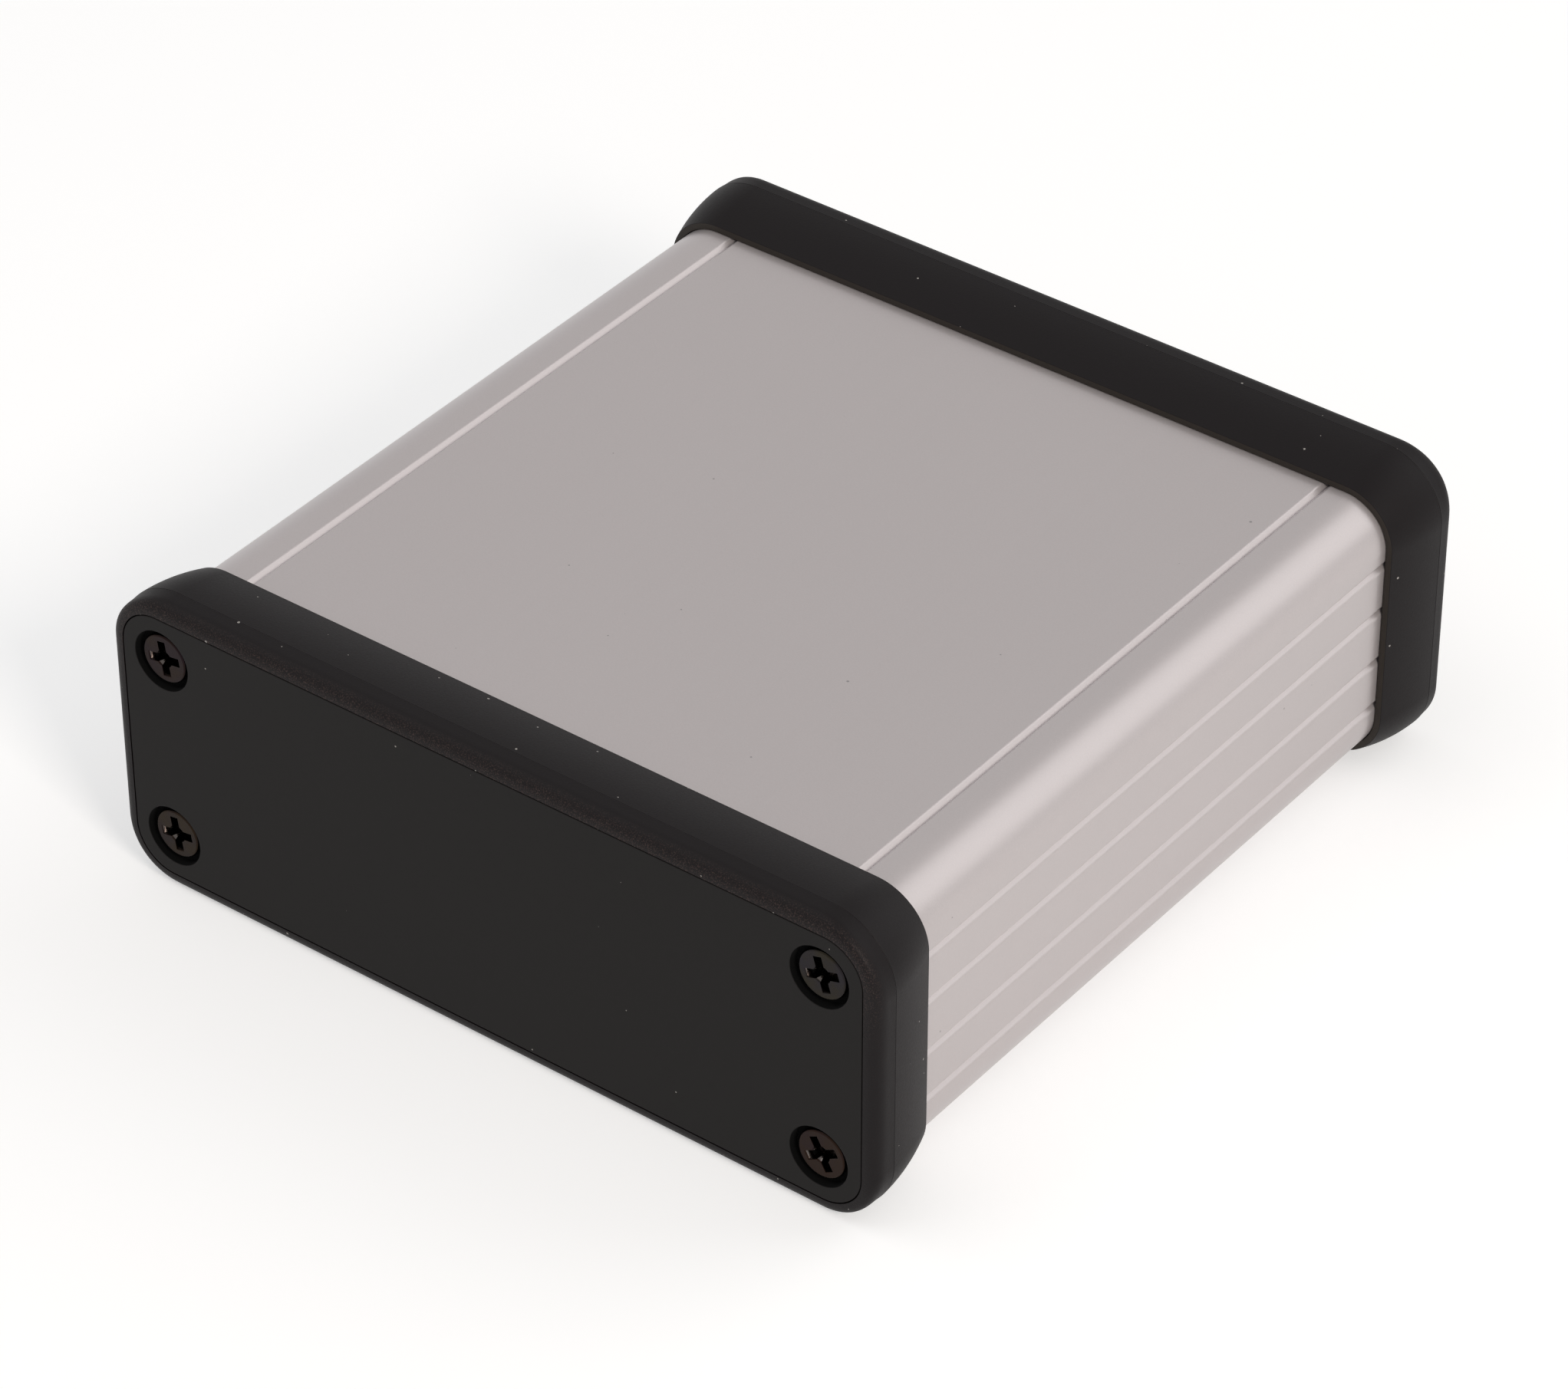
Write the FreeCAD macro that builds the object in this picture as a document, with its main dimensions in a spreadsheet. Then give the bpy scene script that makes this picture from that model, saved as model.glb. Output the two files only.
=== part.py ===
"""Extruded aluminium instrument case with two flared bezels and screwed end panels.

Units are millimetres. X is the width, Y the length with the front panel towards -Y, and Z is up.
The origin is on the ground under the middle of the case: the bezels' lowest edges rest at Z = 0.
Every driving size is a cell of the spreadsheet `dim`; its last cells are worked out from the others.
"""
import FreeCAD, Part
import os
import Sketcher
from FreeCAD import Placement, Rotation, Vector

doc = FreeCAD.newDocument("instrument_case")

# name, value or formula, meaning
SIZES = [
    # extruded body
    ("body_width", 78.0, "outside width of the profile"),
    ("body_height", 27.0, "outside height of the profile"),
    ("body_length", 80.0, "length of the cut profile"),
    ("corner_radius", 4.5, "outside corner radius"),
    ("wall", 1.5, "wall thickness"),
    ("groove_width", 1.0, "width of an outside V-groove"),
    ("groove_depth", 0.5, "depth of an outside V-groove"),
    ("inner_groove", 2.7, "mid-height to the two inner side grooves"),
    ("outer_groove", 7.6, "mid-height to the two outer side grooves"),
    ("top_groove_inset", 6.45, "side face to the middle of the top groove"),
    # screw channels and card guides inside the profile
    ("screw_inset", 4.05, "outside faces to the screw axis"),
    ("screw_size", 2.9, "outside diameter of the screw thread"),
    ("screw_fit", 0.1, "bore over screw diameter"),
    ("channel_wall", 1.3, "metal round the screw bore"),
    ("channel_mouth", 1.7, "width of the bore's open slot"),
    ("guide_slot", 1.9, "clear height of a card guide"),
    ("guide_rib", 1.1, "thickness of a guide rib"),
    ("guide_reach", 1.6, "how far a rib stands off the wall"),
    # slide-in cover under the body
    ("cover_inset", 8.15, "side face to the cover's visible edge"),
    ("cover_thickness", 1.5, "thickness of the cover plate"),
    ("tongue_reach", 1.5, "how far a tongue stands out of the cover's edge"),
    ("tongue_thickness", 0.9, "thickness of a tongue"),
    ("tongue_lift", 0.9, "bottom face to the underside of a tongue"),
    ("lip_height", 2.8, "height of the body's rails beside the cover"),
    ("cover_gap", 0.15, "running clearance of the slide"),
    # moulded bezel
    ("bezel_overlap", 5.9, "how far the bezel sleeves over the body"),
    ("bezel_gap", 0.1, "body surface to the inside of the sleeve"),
    ("rim_height", 0.7, "body surface to the top of the thin rim"),
    ("crease_height", 1.9, "body surface to the parting line"),
    ("crease_setback", 6.1, "rim to the parting line, along the case"),
    ("shoulder_length", 1.0, "straight run from the parting line to the rounded edge"),
    ("edge_radius", 1.8, "rounding from the shoulder to the end face"),
    ("face_height", 0.32, "body surface to the edge of the end face"),
    ("ledge_thickness", 1.0, "flange between the body's end and the panel"),
    ("ledge_reach", 1.2, "how far the flange covers the body's wall"),
    # end panel
    ("panel_thickness", 1.5, "thickness of the end panel"),
    ("panel_corner", 4.0, "corner radius of the opening for the panel"),
    ("panel_gap", 0.06, "clearance round the end panel"),
    ("seat_inset", 3.3, "screw axis to the inner edge of the seat behind it"),
    ("seat_gap", 0.1, "clearance between the seats and the flange"),
    ("recess_radius", 2.95, "round recess over each screw head"),
    ("recess_depth", 1.0, "depth of that recess"),
    # screw
    ("head_size", 4.8, "diameter of the low flat head"),
    ("head_height", 0.6, "height of the head"),
    ("head_gap", 0.05, "clearance under the head and round the shank"),
    ("screw_length", 10.0, "overall length of a screw"),
    ("cross_length", 3.2, "length of the cross recess across the head"),
    ("cross_width", 0.85, "width of an arm of the cross recess"),
    ("cross_depth", 0.5, "depth of the cross recess"),
    # worked out
    ("axis_height", "=body_height / 2 + crease_height", "ground to the middle of the profile"),
    ("screw_side", "=body_width / 2 - screw_inset", "middle to a screw, sideways"),
    ("screw_rise", "=body_height / 2 - screw_inset", "middle to a screw, upwards"),
    ("inner_side", "=body_width / 2 - wall", "middle to the inside of a side wall"),
    ("guide_pitch", "=guide_slot + guide_rib", "spacing of the card guides"),
    ("cover_side", "=body_width / 2 - cover_inset", "middle to the cover's visible edge"),
    ("rail_side", "=cover_side + cover_gap", "middle to the rail beside the cover"),
    ("panel_back", "=body_length / 2 + ledge_thickness", "middle to the back of a panel"),
    ("panel_front", "=panel_back + panel_thickness", "middle to the front of a panel"),
    ("recess_floor", "=panel_front - recess_depth", "middle to the floor of a recess"),
    ("head_top", "=recess_floor + head_gap + head_height", "middle to the top of a screw head"),
    ("rim_place", "=body_length / 2 - bezel_overlap", "middle to a bezel's thin rim"),
    ("crease_place", "=rim_place + crease_setback", "middle to a bezel's parting line"),
    ("shoulder_place", "=crease_place + shoulder_length", "middle to the start of the rounding"),
]
# Turn of each screw's cross, in degrees: upper left, upper right, lower left, lower right.
CROSS_TURNS = {"front": (9, 17, 9, 29), "rear": (40, 21, 63, 5)}

sheet = doc.addObject("Spreadsheet::Sheet", "dim")
for row, (name, content, meaning) in enumerate(SIZES, start=1):
    sheet.set("A%d" % row, name)
    sheet.set("B%d" % row, str(content))
    sheet.set("C%d" % row, meaning)
    sheet.setAlias("B%d" % row, name)
doc.recompute()


def value(formula):
    """Number that a formula of the sheet's cells gives."""
    return float(sheet.evalExpression(str(formula)))


def new_body(label, turn=0):
    """A sub-part lifted to the axis of the case, and turned about Z."""
    body = doc.addObject("PartDesign::Body", label)
    body.Placement = Placement(Vector(0, 0, 0), Rotation(Vector(0, 0, 1), turn))
    body.setExpression("Placement.Base.z", "dim.axis_height")
    return body


def new_sketch(body, name, plane="XZ_Plane", offset=None):
    """A sketch on one of the body's own planes, moved along the plane's normal by offset."""
    sketch = body.newObject("Sketcher::SketchObject", body.Name + "_" + name)
    origin = next(f for f in body.Origin.OriginFeatures if f.Role == plane)
    sketch.AttachmentSupport = [(origin, "")]
    sketch.MapMode = "FlatFace"
    if offset:
        sketch.setExpression("AttachmentOffset.Base.z", offset)
    return sketch


def dimension(sketch, kind, where, formula):
    """Add one dimension and tie it to a formula."""
    index = sketch.addConstraint(Sketcher.Constraint(kind, *where, value(formula)))
    sketch.setExpression("Constraints[%d]" % index, formula)


def outline(sketch, corners):
    """Closed outline. A corner is (across, up), or (across, up, radius) where an arc leads on
    from it, anticlockwise, to the next one. Each corner is dimensioned from the sketch's axes."""
    spots = [Vector(value(c[0]), value(c[1]), 0) for c in corners]
    first = sketch.GeometryCount
    for start, end, corner in zip(spots, spots[1:] + spots[:1], corners):
        if len(corner) == 2:
            sketch.addGeometry(Part.LineSegment(start, end), False)
            continue
        half, radius = (end - start) / 2, value(corner[2])
        rise = (radius**2 - half.Length**2) ** 0.5 if radius > half.Length else 0.0
        inward = Vector(-half.y, half.x, 0).normalize()
        centre = start + half + inward * rise
        sketch.addGeometry(Part.ArcOfCircle(start, centre - inward * radius, end), False)
    for k, corner in enumerate(corners):
        here, last = first + k, first + (k - 1) % len(corners)
        sketch.addConstraint(Sketcher.Constraint("Coincident", last, 2, here, 1))
        for kind, formula in (("DistanceX", corner[0]), ("DistanceY", corner[1])):
            if value(formula):
                dimension(sketch, kind, (-1, 1, here, 1), formula)
            else:
                axis = -2 if kind == "DistanceX" else -1
                sketch.addConstraint(Sketcher.Constraint("PointOnObject", here, 1, axis))
        if len(corner) == 3:
            dimension(sketch, "Radius", (here,), corner[2])


def rectangle(sketch, left, right, bottom, top):
    """Plain rectangle between four formulas."""
    outline(sketch, [(left, bottom), (right, bottom), (right, top), (left, top)])


def rounded_rectangle(sketch, half_width, half_height, radius):
    """Rectangle about the axis with tangent corner arcs; its top starts and ends at the middle,
    which is where a section is swept from."""
    wide, tall, r = "(%s)" % half_width, "(%s)" % half_height, "(%s)" % radius
    outline(sketch, [
        ("0", tall), ("%s - %s" % (r, wide), tall, r), ("-" + wide, "%s - %s" % (tall, r)),
        ("-" + wide, "%s - %s" % (r, tall), r), ("%s - %s" % (r, wide), "-" + tall),
        ("%s - %s" % (wide, r), "-" + tall, r), (wide, "%s - %s" % (r, tall)),
        (wide, "%s - %s" % (tall, r), r), ("%s - %s" % (wide, r), tall)])


def circles_at_screws(sketch, radius):
    """A circle round each of the four screw axes."""
    for side in ("", "-"):
        for rise in ("", "-"):
            across, up = side + "dim.screw_side", rise + "dim.screw_rise"
            centre = Vector(value(across), value(up), 0)
            ring = sketch.addGeometry(Part.Circle(centre, Vector(0, 0, 1), value(radius)), False)
            dimension(sketch, "DistanceX", (-1, 1, ring, 3), across)
            dimension(sketch, "DistanceY", (-1, 1, ring, 3), up)
            dimension(sketch, "Radius", (ring,), radius)


def along_case(body, kind, sketch, length="dim.body_length"):
    """Pad or pocket the sketch equally to both sides of the case's middle."""
    feature = body.newObject("PartDesign::" + kind, "%s_%s" % (sketch.Name, kind.lower()))
    feature.Profile = sketch
    feature.Midplane = True
    feature.setExpression("Length", length)
    sketch.Visibility = False
    return feature


def build_body():
    """The extruded profile: every feature runs its full length."""
    body = new_body("body_extrusion")

    section = new_sketch(body, "section")
    rounded_rectangle(section, "dim.body_width / 2", "dim.body_height / 2", "dim.corner_radius")
    along_case(body, "Pad", section)

    cavity = new_sketch(body, "cavity")
    rectangle(cavity, "-dim.inner_side", "dim.inner_side",
              "dim.wall - dim.body_height / 2", "dim.body_height / 2 - dim.wall")
    along_case(body, "Pocket", cavity)

    channels = new_sketch(body, "channels")
    circles_at_screws(channels, "(dim.screw_size + dim.screw_fit) / 2 + dim.channel_wall")
    along_case(body, "Pad", channels)

    rails = new_sketch(body, "rails")
    for left, right in (("-dim.screw_side", "-dim.rail_side"), ("dim.rail_side", "dim.screw_side")):
        rectangle(rails, left, right, "-dim.body_height / 2 + dim.wall / 2",
                  "dim.lip_height - dim.body_height / 2")
    along_case(body, "Pad", rails)

    bores = new_sketch(body, "bores")
    circles_at_screws(bores, "(dim.screw_size + dim.screw_fit) / 2")
    along_case(body, "Pocket", bores)

    mouths = new_sketch(body, "mouths")
    reach = "dim.screw_side - dim.screw_size / 2 - dim.channel_wall - dim.channel_mouth"
    for rise in ("", "-"):
        low, high = (rise + "dim.screw_rise %s dim.channel_mouth / 2" % s for s in "-+")
        rectangle(mouths, "-dim.screw_side", "-(%s)" % reach, low, high)
        rectangle(mouths, reach, "dim.screw_side", low, high)
    along_case(body, "Pocket", mouths)

    guides = new_sketch(body, "guides")
    for step in (-1.5, -0.5, 0.5, 1.5):
        low, high = ("%g * dim.guide_pitch %s dim.guide_rib / 2" % (step, s) for s in "-+")
        rectangle(guides, "-dim.inner_side - dim.wall / 2", "dim.guide_reach - dim.inner_side",
                  low, high)
        rectangle(guides, "dim.inner_side - dim.guide_reach", "dim.inner_side + dim.wall / 2",
                  low, high)
    along_case(body, "Pad", guides)

    opening = new_sketch(body, "cover_opening")
    rectangle(opening, "-dim.rail_side", "dim.rail_side",
              "-dim.body_height / 2 - dim.wall", "dim.wall - dim.body_height / 2")
    along_case(body, "Pocket", opening)

    slots = new_sketch(body, "cover_slots")
    rectangle(slots, "-dim.rail_side - dim.tongue_reach", "dim.rail_side + dim.tongue_reach",
              "dim.tongue_lift - dim.body_height / 2 - dim.cover_gap",
              "dim.tongue_lift + dim.tongue_thickness - dim.body_height / 2 + dim.cover_gap")
    along_case(body, "Pocket", slots)

    side_groove = new_sketch(body, "side_grooves")
    for side in ("", "-"):
        lip = side + "dim.body_width / 2"
        floor = side + "(dim.body_width / 2 - dim.groove_depth)"
        for middle in ("-dim.outer_groove", "-dim.inner_groove", "dim.inner_groove", "dim.outer_groove"):
            outline(side_groove, [(lip, middle + " - dim.groove_width / 2"), (floor, middle),
                                  (lip, middle + " + dim.groove_width / 2")])
    along_case(body, "Pocket", side_groove)

    top_groove = new_sketch(body, "top_grooves")
    for side in ("", "-"):
        middle = side + "(dim.body_width / 2 - dim.top_groove_inset)"
        outline(top_groove, [(middle + " - dim.groove_width / 2", "dim.body_height / 2"),
                             (middle, "dim.body_height / 2 - dim.groove_depth"),
                             (middle + " + dim.groove_width / 2", "dim.body_height / 2")])
    along_case(body, "Pocket", top_groove)
    return body


def build_cover():
    """Flat cover with a tongue along each edge, slid in under the body."""
    body = new_body("slide_cover")
    section = new_sketch(body, "section")
    bottom, edge = "-dim.body_height / 2", "dim.cover_side"
    tip = edge + " + dim.tongue_reach - dim.cover_gap"
    low, high, top = (bottom + " + " + part for part in (
        "dim.tongue_lift", "dim.tongue_lift + dim.tongue_thickness", "dim.cover_thickness"))
    right = [(edge, bottom), (edge, low), (tip, low), (tip, high), (edge + " - dim.wall", high),
             (edge + " - dim.wall", top)]
    outline(section, right + [("-(%s)" % across, up) for across, up in reversed(right)])
    along_case(body, "Pad", section)
    return body


def build_bezel(label, turn):
    """One moulded frame, its wall section swept round the outline of the body."""
    body = new_body(label, turn)
    spine = new_sketch(body, "spine")
    rounded_rectangle(spine, "dim.body_width / 2", "dim.body_height / 2", "dim.corner_radius")

    section = new_sketch(body, "section", "YZ_Plane")
    surface = "dim.body_height / 2 + "
    outline(section, [
        ("-dim.rim_place", surface + "dim.bezel_gap"),
        ("-dim.rim_place", surface + "dim.rim_height"),
        ("-dim.crease_place", surface + "dim.crease_height"),
        ("-dim.shoulder_place", surface + "dim.crease_height", "dim.edge_radius"),
        ("-dim.panel_front", surface + "dim.face_height"),
        ("-dim.panel_back", surface + "dim.face_height"),
        ("-dim.panel_back", surface + "-dim.ledge_reach"),
        ("-dim.body_length / 2", surface + "-dim.ledge_reach"),
        ("-dim.body_length / 2", surface + "dim.bezel_gap")])
    frame = body.newObject("PartDesign::AdditivePipe", label + "_frame")
    frame.Profile = section
    frame.Spine = (spine, [])
    frame.Mode = "Standard"

    opening = new_sketch(body, "panel_opening", offset="dim.panel_front")
    rounded_rectangle(opening, "dim.body_width / 2 + dim.face_height",
                      "dim.body_height / 2 + dim.face_height", "dim.panel_corner")
    pocket = body.newObject("PartDesign::Pocket", label + "_panel_opening")
    pocket.Profile = opening
    pocket.setExpression("Length", "dim.panel_thickness")
    return body


def build_panel(label, turn):
    """Flat end panel, with a round recess over each screw and a raised seat behind each pair."""
    body = new_body(label, turn)
    plate = new_sketch(body, "plate", offset="dim.panel_back")
    grow = "dim.face_height - dim.panel_gap"
    rounded_rectangle(plate, "dim.body_width / 2 + " + grow, "dim.body_height / 2 + " + grow,
                      "dim.panel_corner - dim.panel_gap")
    pad = body.newObject("PartDesign::Pad", label + "_plate_pad")
    pad.Profile = plate
    pad.setExpression("Length", "dim.panel_thickness")

    seats = new_sketch(body, "seats", offset="dim.panel_back")
    shrink = "(dim.ledge_reach + dim.seat_gap)"
    rounded_rectangle(seats, "dim.body_width / 2 - " + shrink, "dim.body_height / 2 - " + shrink,
                      "dim.corner_radius - " + shrink)
    pad = body.newObject("PartDesign::Pad", label + "_seats_pad")
    pad.Profile = seats
    pad.Reversed = True
    pad.setExpression("Length", "dim.ledge_thickness")

    middle = new_sketch(body, "middle", offset="dim.panel_back")
    inner = "(dim.screw_side - dim.seat_inset)"
    rectangle(middle, "-" + inner, inner, "-dim.body_height / 2", "dim.body_height / 2")
    pocket = body.newObject("PartDesign::Pocket", label + "_middle_pocket")
    pocket.Profile = middle
    pocket.setExpression("Length", "dim.ledge_thickness")

    recesses = new_sketch(body, "recesses", offset="dim.panel_front")
    circles_at_screws(recesses, "dim.recess_radius")
    pocket = body.newObject("PartDesign::Pocket", label + "_recesses_pocket")
    pocket.Profile = recesses
    pocket.setExpression("Length", "dim.recess_depth")
    doc.recompute()

    holes = new_sketch(body, "holes", offset="dim.recess_floor")
    circles_at_screws(holes, "dim.screw_size / 2")
    doc.recompute()
    hole = body.newObject("PartDesign::Hole", label + "_holes")
    hole.Profile = holes
    hole.DepthType = "ThroughAll"
    hole.setExpression("Diameter", "dim.screw_size + 2 * dim.head_gap + dim.screw_fit")
    return body


def build_screw():
    """One screw, standing on its axis with the top of its head at the origin."""
    body = doc.addObject("PartDesign::Body", "screw_pattern")
    section = new_sketch(body, "section")
    head, shank = "dim.head_size / 2", "dim.screw_size / 2"
    outline(section, [("0", "0"), ("0", "-dim.screw_length"), (shank, "-dim.screw_length"),
                      (shank, "-dim.head_height"), (head, "-dim.head_height"), (head, "0")])
    turned = body.newObject("PartDesign::Revolution", "screw_turned")
    turned.Profile = section
    turned.ReferenceAxis = (section, ["V_Axis"])
    turned.Angle = 360.0

    cross = new_sketch(body, "cross", "XY_Plane")
    far, near = "dim.cross_length / 2", "dim.cross_width / 2"
    outline(cross, [(near, far), ("-" + near, far), ("-" + near, near), ("-" + far, near),
                    ("-" + far, "-" + near), ("-" + near, "-" + near), ("-" + near, "-" + far),
                    (near, "-" + far), (near, "-" + near), (far, "-" + near), (far, near),
                    (near, near)])
    pocket = body.newObject("PartDesign::Pocket", "screw_cross")
    pocket.Profile = cross
    pocket.setExpression("Length", "dim.cross_depth")
    return body


def place_screws(label, screw, turn, cross_turns):
    """Four copies of the screw in one end panel, each with its cross turned its own way."""
    spots = [(side, rise) for rise in (1, -1) for side in (-1, 1)]
    solids = []
    for (side, rise), angle in zip(spots, cross_turns):
        solid = screw.Shape.copy()
        solid.Placement = (
            Placement(Vector(0, 0, 0), Rotation(Vector(0, 0, 1), turn))
            * Placement(Vector(side * value("dim.screw_side"), -value("dim.head_top"),
                               value("dim.axis_height") + rise * value("dim.screw_rise")),
                        Rotation(Vector(1, 0, 0), 90))
            * Placement(Vector(0, 0, 0), Rotation(Vector(0, 0, 1), angle)))
        solids.append(solid)
    group = doc.addObject("Part::Feature", label)
    group.Shape = Part.makeCompound(solids)
    return group


screw = build_screw()
nodes = [build_body(), build_cover()]
for end, turn in (("front", 0), ("rear", 180)):
    nodes.append(build_bezel(end + "_bezel", turn))
    nodes.append(build_panel(end + "_end_panel", turn))
doc.recompute()
for end, turn in (("front", 0), ("rear", 180)):
    nodes.append(place_screws(end + "_screws", screw, turn, CROSS_TURNS[end]))
doc.recompute()

for obj in doc.Objects:
    if "Invalid" in obj.State or "Error" in obj.State:
        raise RuntimeError("%s failed: %s" % (obj.Name, obj.State))
os.makedirs("parts", exist_ok=True)
for node in nodes:
    shape = node.Shape
    if shape.isNull() or not shape.isValid():
        raise RuntimeError("%s has no valid shape" % node.Name)
    node.Label = node.Name
    shape.exportStep("parts/%s.step" % node.Label)
    box = shape.BoundBox
    print("%-16s solids %d volume %9.2f box %.2f..%.2f %.2f..%.2f %.2f..%.2f" % (
        node.Label, len(shape.Solids), shape.Volume, box.XMin, box.XMax,
        box.YMin, box.YMax, box.ZMin, box.ZMax))
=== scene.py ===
"""Looks of a small instrument case: a bead-blasted aluminium extrusion, black moulded bezels,
flat black end panels and blackened cross-head screws."""
import math

import bmesh
import bpy
from mathutils import Matrix, Quaternion, Vector


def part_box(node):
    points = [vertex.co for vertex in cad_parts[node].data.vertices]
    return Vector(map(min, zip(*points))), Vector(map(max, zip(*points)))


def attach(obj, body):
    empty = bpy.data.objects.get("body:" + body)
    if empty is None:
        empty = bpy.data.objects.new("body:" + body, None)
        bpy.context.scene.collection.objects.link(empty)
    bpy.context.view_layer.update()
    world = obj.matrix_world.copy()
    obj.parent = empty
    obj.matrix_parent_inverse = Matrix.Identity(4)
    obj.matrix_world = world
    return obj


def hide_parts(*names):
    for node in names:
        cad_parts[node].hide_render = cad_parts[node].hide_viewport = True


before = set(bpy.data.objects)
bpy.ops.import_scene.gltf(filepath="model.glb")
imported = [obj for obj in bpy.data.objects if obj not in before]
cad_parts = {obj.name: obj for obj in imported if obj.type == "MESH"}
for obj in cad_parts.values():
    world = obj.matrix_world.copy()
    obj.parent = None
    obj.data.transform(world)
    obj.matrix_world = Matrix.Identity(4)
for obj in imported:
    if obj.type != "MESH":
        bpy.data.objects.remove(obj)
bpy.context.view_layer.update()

MM = 0.001
NUDGE = 1.0 * MM          # how far a cutting tool reaches past what it cuts
PLACE = 0.02 * MM         # two places nearer than this are the same
DOUBLED = 0.001 * MM      # two points nearer than this are merged
SOFT_EDGE = 0.08 * MM     # rounding of a moulding's edges
CORNER_STEPS = 24         # facets round a quarter turn of a large corner
ROUND_STEPS = 10          # facets over the bezel's rounded edge
FLARE_STEPS = 10          # facets over the bezel's flare
SMALL_STEPS = 4           # facets over a small rounding
ROD_SIDES = 64
CONE_SIDES = 32
SHARP = math.radians(32)  # shading is smooth over edges flatter than this
CORNER = 0.9              # radians; faces that turn more than this meet in a corner
ALIGNED = 0.99            # cosine of a face that looks along an axis

# Extruded body, as the frame has it.
body_low, body_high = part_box("body_extrusion")
body_side = body_high.x
body_end = body_high.y
axis_height = (body_low.z + body_high.z) / 2
body_rise = body_high.z - axis_height
BODY_CORNER = 4.5 * MM
WALL = 1.5 * MM
GROOVE_WIDTH = 0.85 * MM
GROOVE_DEPTH = 0.45 * MM
GROOVE_LIP = 0.12 * MM    # rounding of a groove's two lips
SIDE_GROOVES = (-7.6 * MM, -2.7 * MM, 2.7 * MM, 7.6 * MM)
TOP_GROOVE_INSET = 6.45 * MM

# Screws and the channels they bite into.
SCREW_INSET = 4.05 * MM
screw_side = body_side - SCREW_INSET
screw_rise = body_rise - SCREW_INSET
SHANK = 1.45 * MM
BORE = 1.5 * MM
CHANNEL_WALL = 1.3 * MM
CHANNEL_MOUTH = 1.7 * MM

# Card guides and the slides of the cover.
GUIDE_SLOT = 1.9 * MM
GUIDE_RIB = 1.1 * MM
GUIDE_REACH = 1.6 * MM
GUIDE_RIBS = (-1.5, -0.5, 0.5, 1.5)  # places in steps of a slot and a rib
cover_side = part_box("slide_cover")[1].x
RAIL_SIDE = 31.0 * MM
LIP_HEIGHT = 2.8 * MM
TONGUE_LIFT = 0.9 * MM
TONGUE_THICKNESS = 0.9 * MM
COVER_GAP = 0.15 * MM

# Moulded bezel; heights are above the body's surface.
BEZEL_GAP = 0.1 * MM
RIM_HEIGHT = 0.7 * MM
CREASE_HEIGHT = 1.9 * MM
FLARE_LENGTH = 6.1 * MM
FLARE_BULGE = 0.8         # how much of the flare's slope is gone at its end
PARTING_WIDTH = 0.10 * MM
PARTING_DEPTH = 0.03 * MM
SHOULDER_DROP = 0.05 * MM  # draft of the mould's outer half
FACE_HEIGHT = 0.32 * MM
EDGE_FULLNESS = 2.25      # 2 is an ellipse, more is squarer
SHOULDER_LENGTH = 0.85 * MM
LEDGE_THICKNESS = 1.0 * MM
LEDGE_REACH = 1.2 * MM
rim_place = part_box("rear_bezel")[0].y
panel_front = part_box("rear_end_panel")[1].y
crease_place = rim_place + FLARE_LENGTH
shoulder_place = crease_place + SHOULDER_LENGTH
panel_back = body_end + LEDGE_THICKNESS

# End panel.
PANEL_CORNER = 4.0 * MM
PANEL_GAP = 0.09 * MM
SEAT_INSET = 3.3 * MM
SEAT_GAP = 0.1 * MM
RECESS = 2.95 * MM
RECESS_DEPTH = 1.0 * MM
HOLE = 1.55 * MM

# Screw head.
HEAD = 2.4 * MM
HEAD_HEIGHT = 0.6 * MM
HEAD_ROUNDING = 0.22 * MM
head_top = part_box("rear_screws")[1].y
SCREW_LENGTH = 10.0 * MM
CROSS_REACH = 1.78 * MM
CROSS_WIDTH = 0.86 * MM
CROSS_DEPTH = 1.5 * MM
CROSS_CORNER = 0.12 * MM  # rounding between two arms
CROSS_TAPER = 0.75        # of the bottom to the top
CROSS_HUB = 1.0 * MM      # radius of the cone between the arms
HUB_DEPTH = 1.7 * MM
CROSS_LIP = 0.05 * MM
INSIDE_DEPTH = 0.12 * MM  # below the head's top, where the cross's own finish starts
TOOL_PROUD = 0.2 * MM     # of the cross tool above the head

# Camera, fitted to the photographed case's parallel edges. Angles in degrees.
CAMERA_AZIMUTH = 37.228
CAMERA_ELEVATION = 36.932
CAMERA_ROLL = -0.055
CAMERA_DISTANCE = 552.144 * MM
CAMERA_AIM = Vector((0.553, -1.806, 13.041)) * MM
CAMERA_LENS = 144.97      # both in millimetres
CAMERA_SENSOR = 36
CAMERA_REACH = 0.01, 20   # nearest and farthest that it sees, in metres

# Light: each softbox's azimuth and elevation in degrees, size, power and colour.
LAMPS = {"key": (64, 34, 0.25, 3.9, (1, 0.92, 0.85)), "fill": (-50, 60, 0.8, 1.7, (1, 1, 1)),
         "rim": (146, 38, 0.8, 2.1, (1, 1, 1))}
LAMP_DISTANCE = 1.0
WORLD_LEVEL = 0.5         # of the world as a light, where its look is 1
SKY = [(0.0, (1.0, 1.0, 1.0, 1)), (0.3, (0.76, 0.76, 0.76, 1)), (0.62, (0.63, 0.63, 0.63, 1)),
       (1.0, (0.66, 0.66, 0.66, 1))]  # by height: a white sweep under a dim ceiling
FLOOR_COLOUR = 0.75
FLOOR_GLOW = 0.45
FLOOR_SIZE = 4.0

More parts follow.
